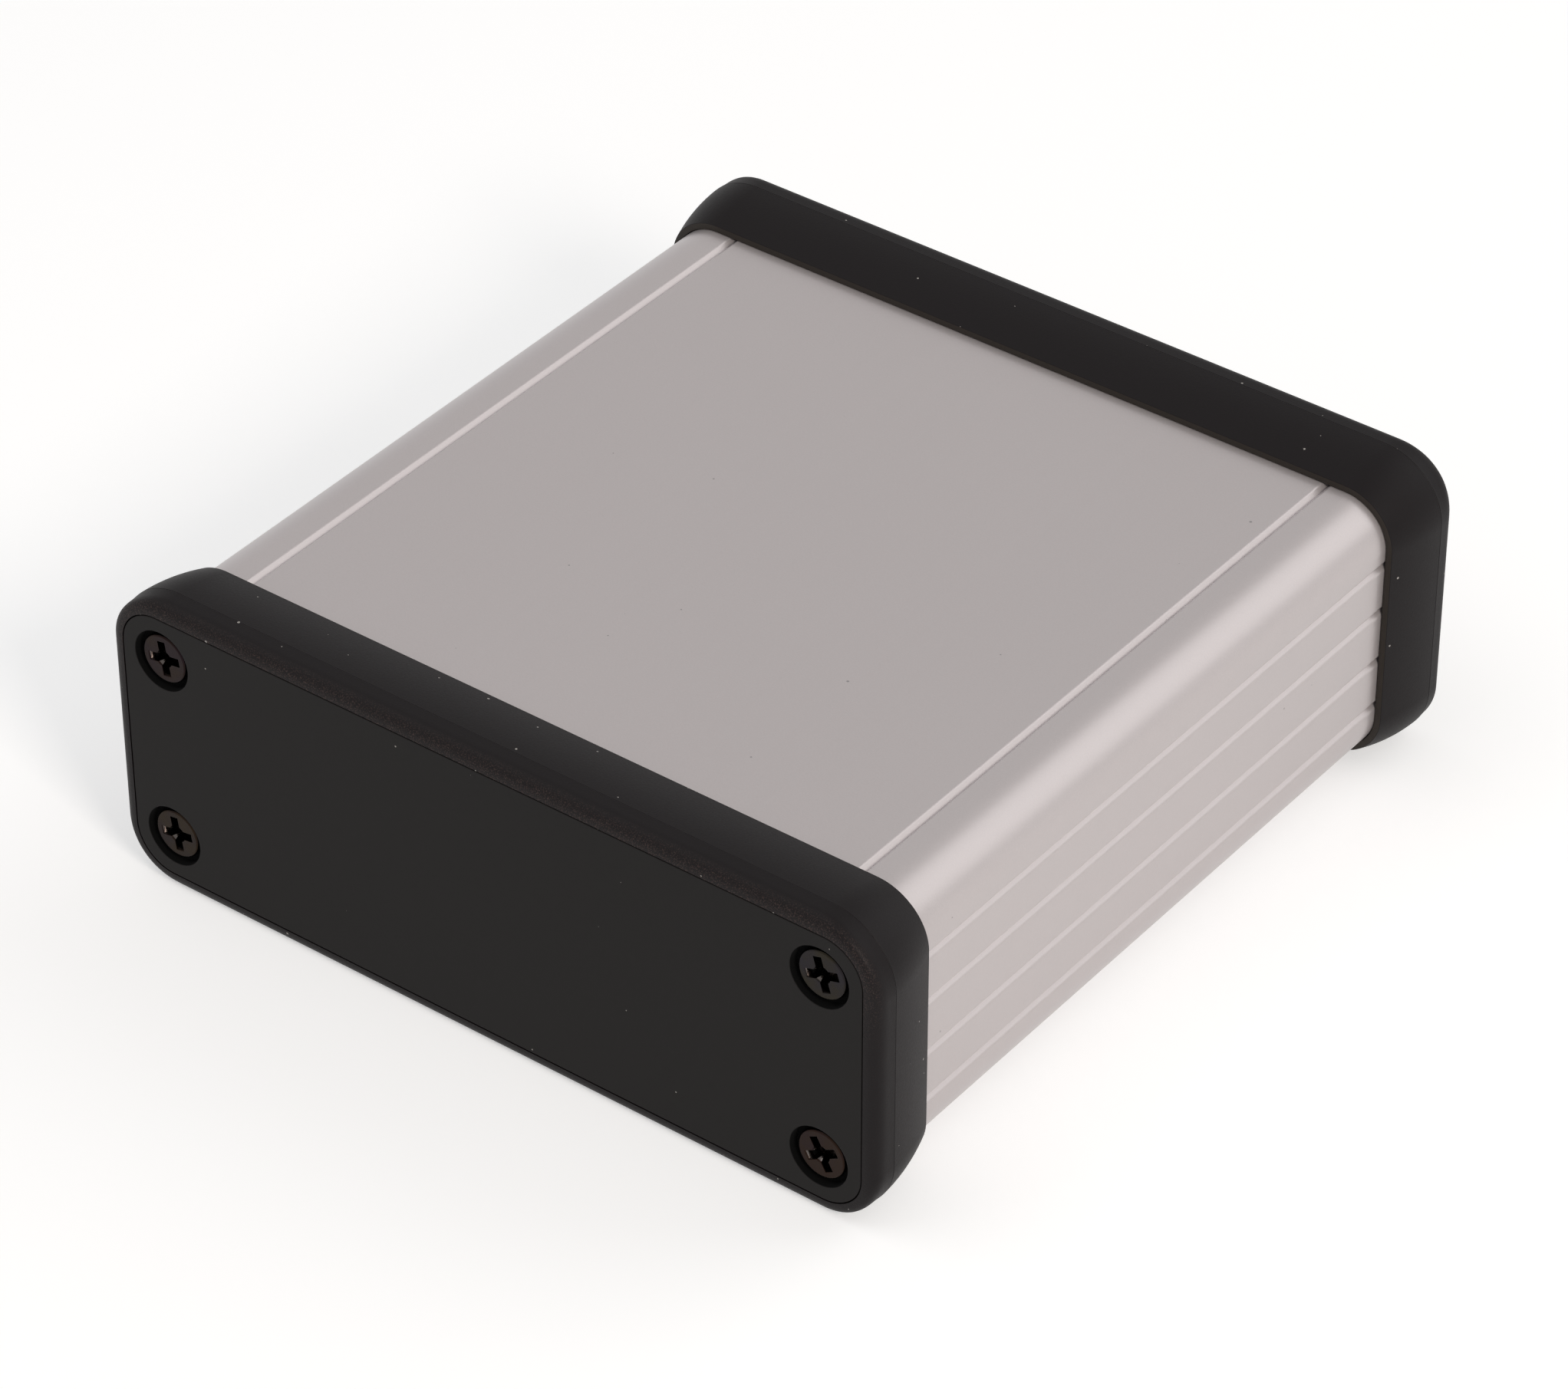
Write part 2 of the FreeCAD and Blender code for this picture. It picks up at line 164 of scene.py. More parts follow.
# Colours. A pair is blended by the grain.
ALUMINIUM = (0.503, 0.463, 0.464, 1), (0.583, 0.539, 0.540, 1)
MOULDED_BLACK = (0.0027, 0.0011, 0.0016, 1), (0.0050, 0.0028, 0.0032, 1)
# lighter specks: rubbed grain with painted glints
RUBBED_GLINT_BLACK = (0.060, 0.040, 0.036, 1)
RIM_BLACK = (0.030, 0.025, 0.021, 1)
FLAT_BLACK = (0.0085, 0.0075, 0.0072, 1), (0.0115, 0.0102, 0.0098, 1)
BRIGHT_STEEL = (0.12, 0.105, 0.098, 1)
DUST = (0.36, 0.34, 0.32, 1)
STAIN_TINTS = (0.95, 0.95, 1.15, 1), (1.1, 1.05, 0.8, 1)

# Marks: a speck's spacing and radius; where the rubbed grain with its painted glints starts and where
# it is full.
DARK_SPECKS = 4.0 * MM, 0.09 * MM
BEZEL_DUST = 2.0 * MM, 0.08 * MM
PANEL_DUST = 3.0 * MM, 0.06 * MM
RUBBED_GLINT_BACK = 1.0 * MM, 0.1 * MM   # behind the face
RUBBED_GLINT_UP = 4 * MM, 12 * MM        # above the axis

# Screws: upper left, upper right, lower left, lower right. Turn of each cross in degrees.
CROSS_TURNS = {"front": (9, 17, 9, 29), "rear": (40, 21, 63, 5)}
SCREW_TONES = {"front": ("bronzed", "plain", "olive", "coppery"),
               "rear": ("coppery", "bronzed", "plain", "bronzed")}
STEEL_TONES = {"plain": (0.0232, 0.0207, 0.0199, 1), "bronzed": (0.0183, 0.0118, 0.0112, 1),
               "olive": (0.0215, 0.0150, 0.0117, 1), "coppery": (0.0220, 0.0136, 0.0130, 1)}


def select_only(*pieces):
    """Select these objects alone, the last of them active."""
    bpy.ops.object.select_all(action="DESELECT")
    for piece in pieces:
        piece.select_set(True)
        bpy.context.view_layer.objects.active = piece


def settle():
    """Put the active object's place, turn and scale into its mesh."""
    bpy.ops.object.transform_apply(location=True, rotation=True, scale=True)


def add_block(name, low, high):
    """A block between two corners."""
    low, high = Vector(low), Vector(high)
    bpy.ops.object.select_all(action="DESELECT")
    bpy.ops.mesh.primitive_cube_add(size=1, location=(low + high) / 2, scale=high - low)
    settle()
    piece = bpy.context.object
    piece.name = piece.data.name = name
    return piece


def add_rod(name, across, up, radius, start, end):
    """A round rod along Y between two places."""
    bpy.ops.object.select_all(action="DESELECT")
    bpy.ops.mesh.primitive_cylinder_add(
        vertices=ROD_SIDES, radius=radius, depth=end - start,
        location=(across, (start + end) / 2, axis_height + up), rotation=(math.pi / 2, 0, 0))
    settle()
    piece = bpy.context.object
    piece.name = piece.data.name = name
    return piece


def begin_edit(piece):
    select_only(piece)
    bpy.ops.object.mode_set(mode="EDIT")


def end_edit():
    bpy.ops.object.mode_set(mode="OBJECT")


def pick(kind, test):
    """In edit mode, select only the elements of one kind that pass a test. Returns how many."""
    bpy.ops.mesh.select_mode(type=kind)
    bpy.ops.mesh.select_all(action="DESELECT")
    shape = bmesh.from_edit_mesh(bpy.context.object.data)
    shape.normal_update()
    elements = {"VERT": shape.verts, "EDGE": shape.edges, "FACE": shape.faces}[kind]
    chosen = [element for element in elements if test(element)]
    for element in chosen:
        element.select_set(True)
    bmesh.update_edit_mesh(bpy.context.object.data)
    return len(chosen)


def near(a, b):
    return abs(a - b) < PLACE


def runs_along_y(edge):
    """True for an edge along the case."""
    a, b = (v.co for v in edge.verts)
    return near(a.x, b.x) and near(a.z, b.z)


def lies_at(edge, y):
    """True for an edge whose two ends are at one place along the case."""
    return all(near(v.co.y, y) for v in edge.verts)


def round_long_edges(piece, radius):
    """Round the four edges of a block that run along the case."""
    begin_edit(piece)
    pick("EDGE", runs_along_y)
    bpy.ops.mesh.bevel(offset=radius, segments=CORNER_STEPS, affect="EDGES", clamp_overlap=False)
    end_edit()


def round_edges(piece, test, radius, steps=2):
    """Round the edges of a piece that pass a test."""
    begin_edit(piece)
    if pick("EDGE", test):
        bpy.ops.mesh.bevel(offset=radius, segments=steps, affect="EDGES", clamp_overlap=True)
    end_edit()


def combine(piece, tools, operation):
    """Cut the tools out of a piece, or add them to it, and clear the tools away."""
    for tool in tools:
        step = piece.modifiers.new(operation.lower(), "BOOLEAN")
        step.operation = operation
        step.solver = "EXACT"
        step.use_self = False
        step.object = tool
        select_only(piece)
        bpy.ops.object.modifier_apply(modifier=step.name)
        bpy.data.objects.remove(tool)


def finish_shape(piece):
    """Merge doubled points, turn the faces outwards and shade smoothly over all but sharp edges."""
    begin_edit(piece)
    bpy.ops.mesh.select_all(action="SELECT")
    bpy.ops.mesh.remove_doubles(threshold=DOUBLED)
    bpy.ops.mesh.normals_make_consistent(inside=False)
    end_edit()
    select_only(piece)
    bpy.ops.object.shade_smooth_by_angle(angle=SHARP)
    step = piece.modifiers.new("flat_faces", "WEIGHTED_NORMAL")
    step.keep_sharp = True
    bpy.ops.object.modifier_apply(modifier=step.name)


def rounded_block(name, half_width, half_height, radius, start, end):
    """A block about the case's axis with rounded long edges."""
    piece = add_block(name, (-half_width, start, axis_height - half_height),
                      (half_width, end, axis_height + half_height))
    round_long_edges(piece, radius)
    return piece


def grooves():
    """Each V-groove's outward direction, its flat's place along that, and its line's axis and place."""
    for side in (-1, 1):
        for rise in SIDE_GROOVES:
            yield Vector((side, 0, 0)), body_side, 2, axis_height + rise
        yield Vector((0, 0, 1)), body_high.z, 0, side * (body_side - TOP_GROOVE_INSET)


def press_groove(facing, level, axis, middle):
    """In edit mode, press one V along the case into a flat."""
    direction = Vector([k == axis for k in range(3)])
    for place in (middle - GROOVE_WIDTH / 2, middle, middle + GROOVE_WIDTH / 2):
        pick("FACE", lambda f: f.normal.dot(facing) > ALIGNED)
        bpy.ops.mesh.bisect(plane_co=direction * place, plane_no=direction)
    pick("VERT", lambda v: near(v.co[axis], middle) and near(v.co.dot(facing), level))
    bpy.ops.transform.translate(value=-facing * GROOVE_DEPTH)


def at_groove_lip(edge):
    """True for an edge along the case where a groove meets its flat."""
    spot = edge.verts[0].co
    return runs_along_y(edge) and any(
        near(spot.dot(facing), level) and near(abs(spot[axis] - middle), GROOVE_WIDTH / 2)
        for facing, level, axis, middle in grooves())


def make_body():
    """The extrusion: a rounded tube with V-grooves outside, screw channels and card guides inside."""
    body = rounded_block("body_shell", body_side, body_rise, BODY_CORNER, -body_end, body_end)
    begin_edit(body)
    for groove in grooves():
        press_groove(*groove)
    end_edit()
    round_edges(body, at_groove_lip, GROOVE_LIP, SMALL_STEPS)

    past = body_end + NUDGE
    inner_side, inner_rise = body_side - WALL, body_rise - WALL
    combine(body, [add_block("cavity", (-inner_side, -past, axis_height - inner_rise),
                             (inner_side, past, axis_height + inner_rise))], "DIFFERENCE")
    added, removed = [], []
    for side in (-1, 1):
        for rise in (-1, 1):
            spot = (side * screw_side, rise * screw_rise)
            added.append(add_rod("channel", *spot, BORE + CHANNEL_WALL, -body_end, body_end))
            removed.append(add_rod("bore", *spot, BORE, -past, past))
            mouth = axis_height + rise * screw_rise
            inner = screw_side - SHANK - CHANNEL_WALL - CHANNEL_MOUTH
            across = sorted((side * inner, side * screw_side))
            removed.append(add_block("mouth", (across[0], -past, mouth - CHANNEL_MOUTH / 2),
                                     (across[1], past, mouth + CHANNEL_MOUTH / 2)))
        for step in GUIDE_RIBS:
            rib = axis_height + step * (GUIDE_SLOT + GUIDE_RIB)
            across = sorted((side * (inner_side - GUIDE_REACH), side * (inner_side + WALL / 2)))
            added.append(add_block("guide_rib", (across[0], -body_end, rib - GUIDE_RIB / 2),
                                   (across[1], body_end, rib + GUIDE_RIB / 2)))
        across = sorted((side * RAIL_SIDE, side * screw_side))
        added.append(add_block("rail", (across[0], -body_end, body_low.z + WALL / 2),
                               (across[1], body_end, body_low.z + LIP_HEIGHT)))
    removed.append(add_block("opening", (-RAIL_SIDE, -past, body_low.z - NUDGE),
                             (RAIL_SIDE, past, body_low.z + WALL)))
    slot_side = cover_side + COVER_GAP
    removed.append(add_block("slide", (-slot_side, -past, body_low.z + TONGUE_LIFT - COVER_GAP),
                             (slot_side, past,
                              body_low.z + TONGUE_LIFT + TONGUE_THICKNESS + COVER_GAP)))
    combine(body, added, "UNION")
    combine(body, removed, "DIFFERENCE")
    finish_shape(body)
    return body


def inset_face(thickness, depth):
    """In edit mode, inset the selected face and move the new one along its normal."""
    bpy.ops.mesh.inset(thickness=thickness, depth=depth, use_even_offset=True)


def add_outline(height, y, corner):
    """A flat rounded rectangle across the case, this high above the body's surface."""
    bpy.ops.object.select_all(action="DESELECT")
    bpy.ops.mesh.primitive_plane_add(size=2, location=(0, y, axis_height), rotation=(math.pi / 2, 0, 0))
    outline = bpy.context.object
    outline.scale = (body_side + height, body_rise + height, 1)
    settle()
    begin_edit(outline)
    bpy.ops.mesh.select_all(action="SELECT")
    bpy.ops.mesh.bevel(offset=corner, segments=CORNER_STEPS, affect="VERTICES", clamp_overlap=False)
    bpy.ops.mesh.select_all(action="SELECT")
    bpy.ops.mesh.delete(type="ONLY_FACE")
    end_edit()
    return outline


def loft(name, stations):
    """A closed skin through outlines, from their heights, places along the case and corners."""
    select_only(*[add_outline(*station) for station in stations])
    bpy.ops.object.join()
    piece = bpy.context.object
    piece.name = piece.data.name = name
    begin_edit(piece)
    places = [station[1] for station in stations]
    for first, second in zip(places, places[1:]):
        pick("EDGE", lambda e: lies_at(e, first) or lies_at(e, second))
        bpy.ops.mesh.bridge_edge_loops()
    for end in (places[0], places[-1]):
        pick("EDGE", lambda e: lies_at(e, end))
        bpy.ops.mesh.edge_face_add()
    bpy.ops.mesh.select_all(action="SELECT")
    bpy.ops.mesh.normals_make_consistent(inside=False)
    end_edit()
    return piece


def bezel_stations():
    """Outlines of the rear bezel's outer skin, from its thin rim over the flare to its face."""
    edge = RIM_HEIGHT - SOFT_EDGE
    yield edge, rim_place, BODY_CORNER + edge
    parting_start = crease_place - PARTING_WIDTH / 2
    for step in range(FLARE_STEPS + 1):
        along = step / FLARE_STEPS
        swell = along * (1 + FLARE_BULGE) - along ** 2 * FLARE_BULGE
        height = RIM_HEIGHT + (CREASE_HEIGHT - RIM_HEIGHT) * swell
        place = rim_place + SOFT_EDGE / 2
        yield height, place + (parting_start - place) * along, BODY_CORNER + height
    bottom = CREASE_HEIGHT - PARTING_DEPTH
    yield bottom, crease_place, BODY_CORNER + bottom
    yield CREASE_HEIGHT, parting_start + PARTING_WIDTH, BODY_CORNER + CREASE_HEIGHT
    for step in range(ROUND_STEPS + 1):
        turn = math.pi / 2 * step / ROUND_STEPS
        down, along = (max(part(turn), 0) ** (2 / EDGE_FULLNESS) for part in (math.cos, math.sin))
        yield (FACE_HEIGHT + (CREASE_HEIGHT - SHOULDER_DROP - FACE_HEIGHT) * down,
               shoulder_place + (panel_front - shoulder_place) * along,
               PANEL_CORNER + (BODY_CORNER + CREASE_HEIGHT - PANEL_CORNER) * down ** 2)


def make_bezel():
    """The rear bezel: a flared sleeve over the body, a fine parting line and a rounded end."""
    bezel = loft("rear_bezel_frame", list(bezel_stations()))
    begin_edit(bezel)
    pick("FACE", lambda f: f.normal.y < -ALIGNED and len(f.verts) > 4)
    inset_face(RIM_HEIGHT - SOFT_EDGE - BEZEL_GAP, 0)
    inset_face(0, rim_place - body_end)
    end_edit()
    combine(bezel, [
        rounded_block("panel_opening", body_side + FACE_HEIGHT + PLACE / 2,
                      body_rise + FACE_HEIGHT + PLACE / 2, PANEL_CORNER, panel_back,
                      panel_front + NUDGE),
        rounded_block("way_through", body_side - LEDGE_REACH, body_rise - LEDGE_REACH,
                      BODY_CORNER - LEDGE_REACH, body_end - NUDGE, panel_front + NUDGE)],
        "DIFFERENCE")
    finish_shape(bezel)
    return bezel


def make_panel():
    """The rear end panel: a plate with four round recesses, and a seat behind each pair of screws."""
    grow = FACE_HEIGHT - PANEL_GAP
    panel = rounded_block("rear_panel_plate", body_side + grow, body_rise + grow,
                          PANEL_CORNER - PANEL_GAP, panel_back, panel_front)
    shrink = LEDGE_REACH + SEAT_GAP
    seats = rounded_block("seats", body_side - shrink, body_rise - shrink, BODY_CORNER - shrink,
                          body_end, panel_back + WALL / 2)
    inner = screw_side - SEAT_INSET
    combine(seats, [add_block("middle", (-inner, body_end - NUDGE, body_low.z),
                              (inner, panel_back + NUDGE, body_high.z))], "DIFFERENCE")
    combine(panel, [seats], "UNION")
    tools = []
    for side in (-1, 1):
        for rise in (-1, 1):
            spot = (side * screw_side, rise * screw_rise)
            tools.append(add_rod("recess", *spot, RECESS, panel_front - RECESS_DEPTH,
                                 panel_front + NUDGE))
            tools.append(add_rod("hole", *spot, HOLE, body_end - NUDGE, panel_front + NUDGE))
    combine(panel, tools, "DIFFERENCE")
    round_edges(panel, lambda e: lies_at(e, panel_front) and e.calc_face_angle(0) > CORNER, SOFT_EDGE)
    finish_shape(panel)
    return panel


def make_cross():
    """Tool of the screw's cross recess: four tapering arms about the screw's axis, along Y."""
    arm = CROSS_WIDTH / 2
    cross = add_block("cross", (-arm, 0, -arm), (arm, CROSS_DEPTH, arm))
    begin_edit(cross)
    for across, up in ((1, 0), (-1, 0), (0, 1), (0, -1)):
        pick("FACE", lambda f: f.normal.x * across + f.normal.z * up > ALIGNED
             and near(f.calc_center_median().x * up, f.calc_center_median().z * across))
        bpy.ops.mesh.extrude_region_move(
            TRANSFORM_OT_translate={"value": Vector((across, 0, up)) * (CROSS_REACH - arm)})
    pick("EDGE", lambda e: runs_along_y(e) and near(abs(e.verts[0].co.x), arm)
         and near(abs(e.verts[0].co.z), arm))
    bpy.ops.mesh.bevel(offset=CROSS_CORNER, segments=3, affect="EDGES", clamp_overlap=True)
    pick("VERT", lambda v: near(v.co.y, 0))
    bpy.ops.transform.resize(value=(CROSS_TAPER, 1, CROSS_TAPER), center_override=(0, 0, 0))
    end_edit()
    bpy.ops.object.select_all(action="DESELECT")
    bpy.ops.mesh.primitive_cone_add(vertices=CONE_SIDES, radius1=CROSS_HUB, depth=HUB_DEPTH,
                                    location=(0, CROSS_DEPTH - HUB_DEPTH / 2, 0),
                                    rotation=(math.pi / 2, 0, 0))
    settle()
    combine(cross, [bpy.context.object], "UNION")
    return cross


def make_screw():
    """One screw along Y with the middle of its head's top at the origin, facing +Y."""
    bpy.ops.object.select_all(action="DESELECT")
    bpy.ops.mesh.primitive_cylinder_add(vertices=ROD_SIDES, radius=HEAD, depth=HEAD_HEIGHT,
                                        location=(0, -HEAD_HEIGHT / 2, 0),
                                        rotation=(math.pi / 2, 0, 0))
    settle()
    screw = bpy.context.object
    screw.name = screw.data.name = "screw"
    begin_edit(screw)
    pick("FACE", lambda f: f.normal.y < -ALIGNED)
    inset_face(HEAD - SHANK, 0)
    bpy.ops.mesh.extrude_region_move(
        TRANSFORM_OT_translate={"value": (0, HEAD_HEIGHT - SCREW_LENGTH, 0)})
    end_edit()
    round_edges(screw, lambda e: lies_at(e, 0), HEAD_ROUNDING, SMALL_STEPS)
    cross = make_cross()
    select_only(cross)
    bpy.ops.transform.translate(value=(0, TOOL_PROUD - CROSS_DEPTH, 0))
    settle()
    combine(screw, [cross], "DIFFERENCE")
    round_edges(screw, lambda e: lies_at(e, 0) and e.calc_face_angle(0) > CORNER, CROSS_LIP)
    finish_shape(screw)
    return screw


def copy_piece(piece, name, change):
    """A copy with its own mesh, moved by a matrix."""
    twin = piece.copy()
    twin.data = piece.data.copy()
    twin.name = twin.data.name = name
    bpy.context.scene.collection.objects.link(twin)
    twin.data.transform(change)
    return twin


class Value:
    """A number that a node gives, which Python's operators can be used on."""

    def __init__(self, finish, socket):
        self.finish, self.socket = finish, socket

    def math(self, operation, *numbers):
        """A Math node on numbers or values."""
        return self.finish.node("ShaderNodeMath", {"operation": operation}, dict(enumerate(numbers)))

    def __add__(self, other):
        return self.math("ADD", self, other)

    def __sub__(self, other):
        return self.math("SUBTRACT", self, other)

    def __rsub__(self, other):
        return self.math("SUBTRACT", other, self)

    def __mul__(self, other):
        return self.math("MULTIPLY", self, other)

    def __lt__(self, other):
        return self.math("LESS_THAN", self, other)

    __radd__ = __add__
    __rmul__ = __mul__

    def beside(self, output):
        """Another output of the node that gave this one."""
        return Value(self.finish, self.socket.node.outputs[output])

    def absolute(self):
        return self.math("ABSOLUTE", self)

    def larger(self, other):
        return self.math("MAXIMUM", self, other)

    def between(self, low, high):
        """0 below the low number, 1 above the high one and a straight ramp between."""
        return self.finish.node("ShaderNodeMapRange", {}, {
            "Value": self, "From Min": low, "From Max": high})


class Finish:
    """The nodes of a material, or of the world."""

    def __init__(self, owner):
        owner.use_nodes = True
        self.owner = owner
        self.tree = owner.node_tree
        self.tree.nodes.clear()

    def node(self, kind, settings=None, inputs=None, output=0):
        """Add a node, set it up, fill or link its sockets, and return one of its outputs."""
        made = self.tree.nodes.new(kind)
        for key, setting in (settings or {}).items():
            if key == "stops":
                self._set_stops(made.color_ramp, setting)
            else:
                setattr(made, key, setting)
        for key, content in (inputs or {}).items():
            if isinstance(content, Value):
                self.tree.links.new(content.socket, made.inputs[key])
            else:
                made.inputs[key].default_value = content
        return Value(self, made.outputs[output]) if len(made.outputs) else None

    @staticmethod
    def _set_stops(ramp, stops):
        while len(ramp.elements) < len(stops):
            ramp.elements.new(1.0)
        for element, (position, colour) in zip(ramp.elements, stops):
            element.position, element.color = position, colour

    def place(self, scale=(1, 1, 1)):
        """Object coordinates, scaled by an amount along each axis."""
        spot = self.node("ShaderNodeTexCoord", output="Object")
        return self.node("ShaderNodeMapping", {}, {"Vector": spot, "Scale": scale})

    def noise(self, scale, detail=2.0, roughness=0.5, stretch=(1, 1, 1)):
        """Noise with this many waves to the metre, or fewer along an axis that is stretched."""
        return self.node("ShaderNodeTexNoise", {}, {
            "Vector": self.place(stretch), "Scale": scale, "Detail": detail, "Roughness": roughness})

    def axes(self):
        """Object coordinates as three numbers."""
        across = self.node("ShaderNodeSeparateXYZ", {}, {"Vector": self.place()}, output="X")
        return across, across.beside("Y"), across.beside("Z")

    def specks(self, spacing, radius):
        """1 on small scattered specks."""
        distance = self.node("ShaderNodeTexVoronoi", {}, {"Vector": self.place(), "Scale": 1 / spacing},
                             output="Distance")
        size = self.noise(1 / spacing, 0) * 2
        return distance < size * (radius / spacing)

    def dusted(self, colour, spacing, radius):
        """A colour with pale dust on it."""
        return self.blend(self.specks(spacing, radius), colour, DUST)

    def near_screw(self, radius):
        """1 within a radius of any screw's axis."""
        across, _, up = self.axes()
        side = across.absolute() - screw_side
        rise = (up - axis_height).absolute() - screw_rise
        return side * side + rise * rise < radius ** 2

    def seen(self):
        """1 for camera, glossy and transmission rays, which see the white surroundings."""
        camera = self.node("ShaderNodeLightPath", output="Is Camera Ray")
        others = camera.beside("Is Glossy Ray").larger(camera.beside("Is Transmission Ray"))
        return camera.larger(others)

    def blend(self, amount, first, second):
        """Mix two colours."""
        return self.node("ShaderNodeMix", {"data_type": "RGBA"},
                         {0: amount, 6: first, 7: second}, output=2)

    def bump(self, height, distance, strength):
        return self.node("ShaderNodeBump", {}, {
            "Height": height, "Distance": distance, "Strength": strength})

    def surface(self, **inputs):
        """The Principled shader, from its sockets' names with underscores for spaces."""
        sockets = {name.replace("_", " "): content for name, content in inputs.items()}
        shader = self.node("ShaderNodeBsdfPrincipled", {}, sockets)
        self.node("ShaderNodeOutputMaterial", {}, {"Surface": shader})
        return self.owner


def new_finish(name):
    return Finish(bpy.data.materials.new(name))


def grey(level):
    """A neutral colour."""
    return (level, level, level, 1)


def anodised_aluminium():
    """Bead-blasted and anodised: a fine matt grain, faint streaks along the case, a few dark specks."""
    finish = new_finish("anodised_aluminium")
    grain = finish.noise(6500, 2.0, 0.7)
    cloud = finish.noise(60, 3.0, 0.5)
    streak = finish.noise(900, 2.0, 0.6, (1, 0.01, 1))
    shade = (grain - 0.5) * 0.9 + (cloud - 0.5) * 0.12 + (streak - 0.5) * 0.10 + 0.5
    colour = finish.blend(shade, *ALUMINIUM)
    spots = finish.specks(*DARK_SPECKS)
    colour = finish.blend(spots * 0.55, colour, grey(0.12))
    return finish.surface(Base_Color=colour, Metallic=0.42, Roughness=0.35 + (grain - 0.5) * 0.2,
                          Normal=finish.bump(grain, 0.01 * MM, 0.4))


def bezel_plastic():
    """Black plastic from a finely textured mould; near the panel, on the upper half, its grain is
    rubbed and carries painted glints.
    """
    finish = new_finish("bezel_plastic")
    grain = finish.noise(5000, 3.0, 0.6)
    sparkle = finish.noise(9000, 1.0, 0.5)
    _, along, up = finish.axes()
    edge = along.absolute().between(*(panel_front - back for back in RUBBED_GLINT_BACK))
    upper_half = up.between(*(axis_height + rise for rise in RUBBED_GLINT_UP))
    # rubbed grain with painted glints: lighter specks near the panel, on the upper half only
    rubbed_glints = edge * upper_half * sparkle.between(0.5, 0.8)
    colour = finish.blend(grain, *MOULDED_BLACK)
    colour = finish.blend(rubbed_glints, colour, RUBBED_GLINT_BLACK)
    rim_end = along.absolute() < rim_place + PLACE
    colour = finish.blend(rim_end, colour, RIM_BLACK)
    colour = finish.dusted(colour, *BEZEL_DUST)
    return finish.surface(Base_Color=colour, Roughness=0.54 + (grain - 0.5) * 0.15,
                          Specular_IOR_Level=0.2,
                          Normal=finish.bump(grain, 0.02 * MM, 0.5 + edge * 0.5))


def panel_plastic():
    """Black plastic with a smoother satin face, and painted shade in the screws' recesses, which are
    also duller.
    """
    finish = new_finish("panel_plastic")
    grain = finish.noise(3500, 2.0, 0.5)
    _, along, _ = finish.axes()
    recess = finish.near_screw(RECESS + PLACE) * (along.absolute() < panel_front - 2 * PLACE)
    colour = finish.blend(grain, *FLAT_BLACK)
    colour = finish.dusted(colour, *PANEL_DUST)
    # painted shade: the screws' recesses are coloured near black
    colour = finish.blend(recess, colour, grey(0.001))
    return finish.surface(Base_Color=colour, Roughness=0.55 + (grain - 0.5) * 0.08 + recess * 0.4,
                          Specular_IOR_Level=0.14,
                          Normal=finish.bump(grain, 0.01 * MM, 0.2))


def blackened_steel(tone):
    """Black oxide, mottled where it has turned bronze, brighter and smoother inside the cross."""
    finish = new_finish("%s_steel" % tone)
    mottle = [[part * tint for part, tint in zip(STEEL_TONES[tone], tints)] for tints in STAIN_TINTS]
    cloud = finish.noise(700, 3.0, 0.6)
    stain = finish.noise(420, 2.0, 0.5).between(0.38, 0.62)
    _, along, _ = finish.axes()
    inside = along.absolute() < head_top - INSIDE_DEPTH
    colour = finish.blend(stain, *mottle)
    colour = finish.blend(inside, colour, BRIGHT_STEEL)
    return finish.surface(Base_Color=colour, Metallic=1.0,
                          Roughness=0.28 + (cloud - 0.5) * 0.1 - inside * 0.18,
                          Normal=finish.bump(cloud, 0.01 * MM, 0.3))


def paint(piece, material):
    """Give a piece one material."""
    piece.data.materials.clear()
    piece.data.materials.append(material)


def hand_in(piece, node, material):
    """Finish a piece that stands for a node of the frame."""
    paint(piece, material)
    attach(piece, "root")
    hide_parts(node)


def make_floor():
    """A pale floor that keeps the soft shadow of the case."""
    bpy.ops.object.select_all(action="DESELECT")
    bpy.ops.mesh.primitive_plane_add(size=FLOOR_SIZE, location=(0, 0, 0))
    floor = bpy.context.object
    floor.name = "floor"
    finish = new_finish("pale_floor")
    diffuse = finish.node("ShaderNodeBsdfDiffuse", {}, {"Color": grey(FLOOR_COLOUR)})
    glow = finish.node("ShaderNodeEmission", {}, {
        "Color": grey(1), "Strength": finish.seen() * FLOOR_GLOW})
    both = finish.node("ShaderNodeAddShader", {}, {0: diffuse, 1: glow})
    finish.node("ShaderNodeOutputMaterial", {}, {"Surface": both})
    paint(floor, finish.owner)


def make_world():
    """White at the horizon and darker overhead."""
    bpy.context.scene.world = bpy.data.worlds.new("studio")
    finish = Finish(bpy.context.scene.world)
    direction = finish.node("ShaderNodeTexCoord", output="Generated")
    up = finish.node("ShaderNodeSeparateXYZ", {}, {"Vector": direction}, output="Z")
    sky = finish.node("ShaderNodeValToRGB", {"stops": SKY}, {"Fac": up})
    level = finish.seen() * (1 - WORLD_LEVEL) + WORLD_LEVEL
    white = finish.node("ShaderNodeBackground", {}, {"Color": sky, "Strength": level})
    finish.node("ShaderNodeOutputWorld", {}, {"Surface": white})


def outward(azimuth, elevation):
    """Away from the case. Azimuth 0 is in front and 90 at +X, in degrees."""
    a, e = math.radians(azimuth), math.radians(elevation)
    return Vector((math.sin(a) * math.cos(e), -math.cos(a) * math.cos(e), math.sin(e)))


def add_softbox(name, azimuth, elevation, size, power, colour):
    """A square soft light aimed at the middle of the case."""
    away = outward(azimuth, elevation)
    data = bpy.data.lights.new(name, "AREA")
    data.size = size
    data.energy = power
    data.color = colour
    lamp = bpy.data.objects.new(name, data)
    lamp.location = Vector((0, 0, axis_height)) + away * LAMP_DISTANCE
    lamp.rotation_euler = (-away).to_track_quat("-Z", "Y").to_euler()
    bpy.context.scene.collection.objects.link(lamp)


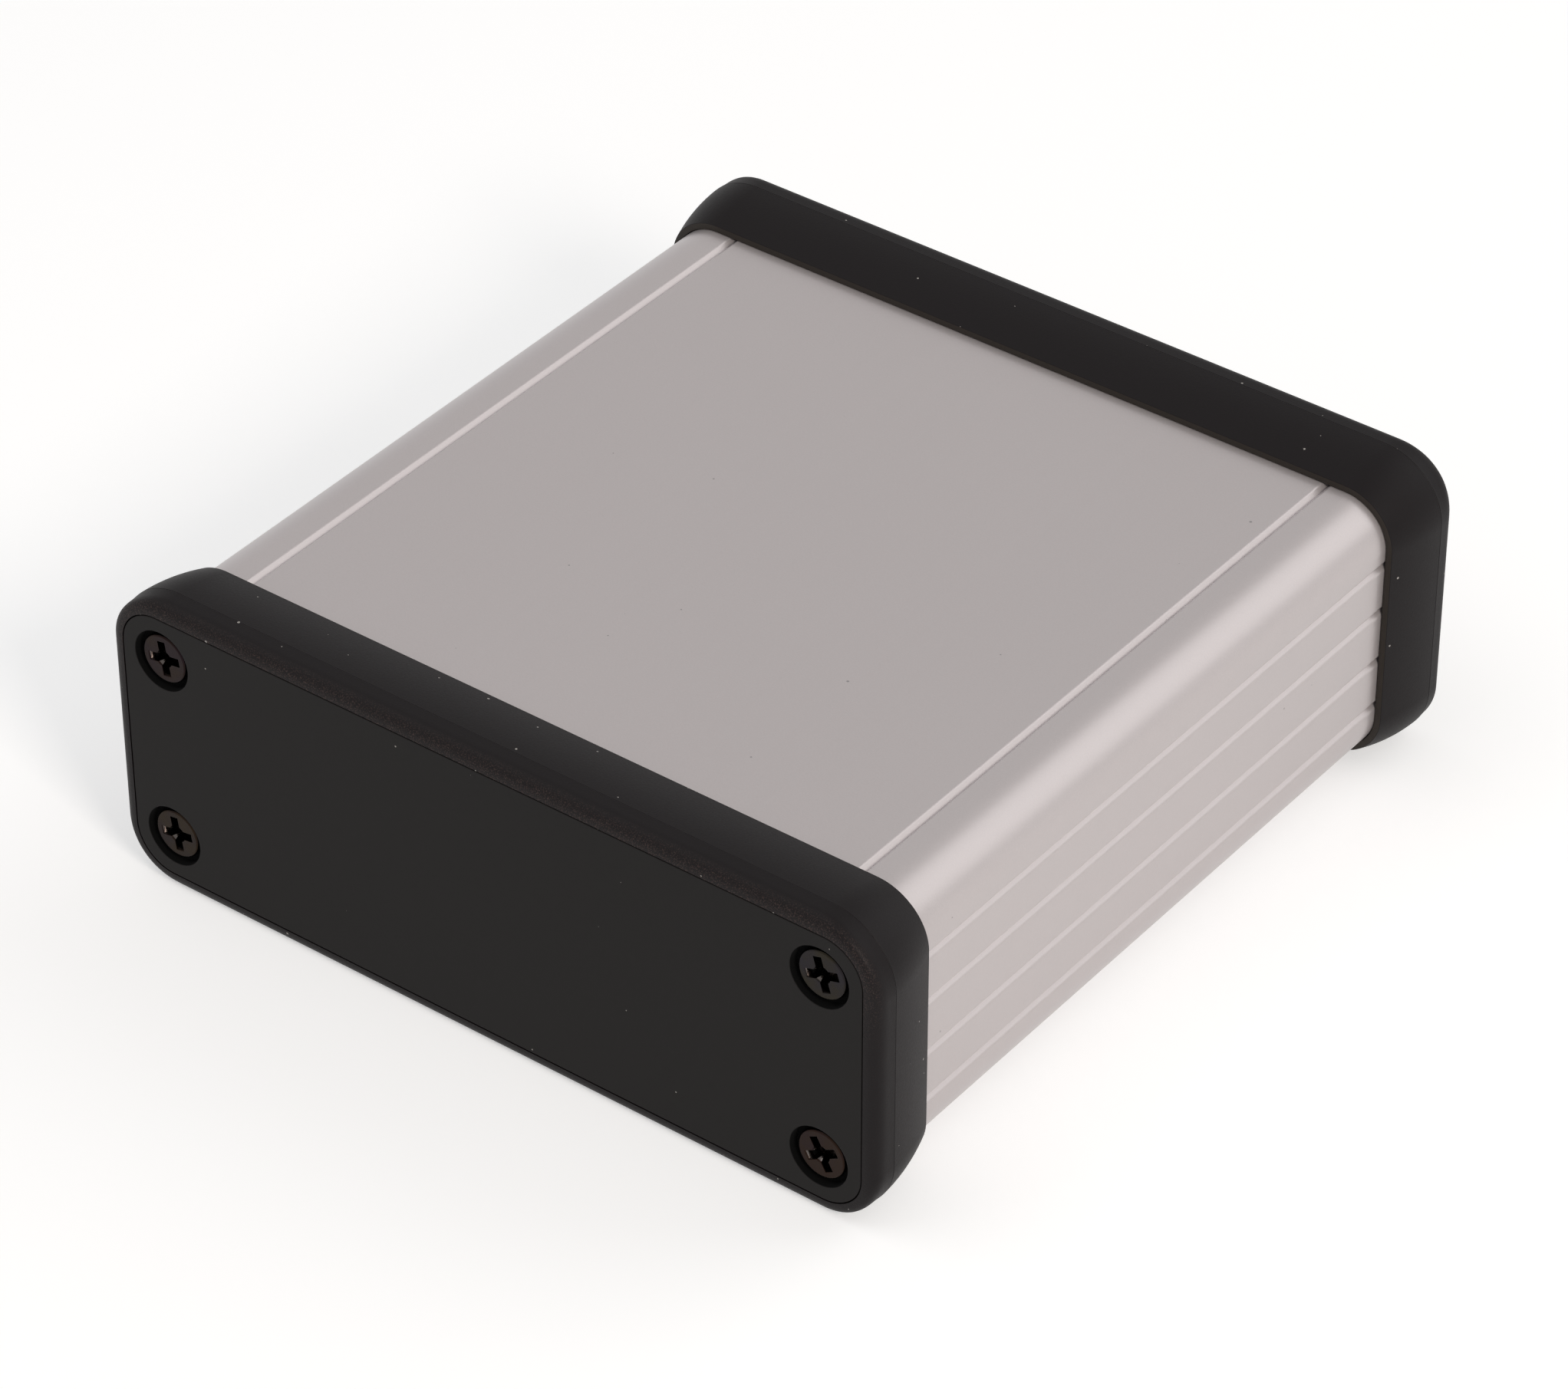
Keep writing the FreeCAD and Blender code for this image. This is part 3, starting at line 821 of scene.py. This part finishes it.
def add_camera():
    """The camera at the photograph's viewing angle."""
    back = outward(CAMERA_AZIMUTH, CAMERA_ELEVATION)
    data = bpy.data.cameras.new("camera")
    data.sensor_width = CAMERA_SENSOR
    data.lens = CAMERA_LENS
    data.clip_start, data.clip_end = CAMERA_REACH
    camera = bpy.data.objects.new("camera", data)
    camera.location = CAMERA_AIM + back * CAMERA_DISTANCE
    roll = Quaternion((0, 0, 1), math.radians(CAMERA_ROLL))
    camera.rotation_euler = ((-back).to_track_quat("-Z", "Y") @ roll).to_euler()
    bpy.context.scene.collection.objects.link(camera)
    bpy.context.scene.camera = camera


aluminium, moulded, flat_black = anodised_aluminium(), bezel_plastic(), panel_plastic()
steels = {tone: blackened_steel(tone) for tone in STEEL_TONES}

hand_in(make_body(), "body_extrusion", aluminium)
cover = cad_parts["slide_cover"]
for slot in cover.material_slots:
    slot.material = aluminium

half_turn = Matrix.Rotation(math.pi, 4, "Z")
rear_bezel, rear_panel, pattern = make_bezel(), make_panel(), make_screw()
front_bezel = copy_piece(rear_bezel, "front_bezel_frame", half_turn)
front_panel = copy_piece(rear_panel, "front_panel_plate", half_turn)
for end, bezel, panel in (("rear", rear_bezel, rear_panel), ("front", front_bezel, front_panel)):
    hand_in(bezel, end + "_bezel", moulded)
    hand_in(panel, end + "_end_panel", flat_black)
    corners = [(side, rise) for rise in (1, -1) for side in (-1, 1)]
    facing = half_turn if end == "front" else Matrix.Identity(4)
    for number, ((side, rise), turn, tone) in enumerate(
            zip(corners, CROSS_TURNS[end], SCREW_TONES[end]), start=1):
        place = Matrix.Translation((-side * screw_side, head_top, axis_height + rise * screw_rise))
        spin = Matrix.Rotation(math.radians(turn), 4, "Y")
        screw = copy_piece(pattern, "%s_screw_%d" % (end, number), facing @ place @ spin)
        hand_in(screw, end + "_screws", steels[tone])
bpy.data.objects.remove(pattern)

make_world()
make_floor()
for lamp_name, settings in LAMPS.items():
    add_softbox(lamp_name, *settings)
add_camera()
bpy.context.scene.view_settings.view_transform = "Standard"
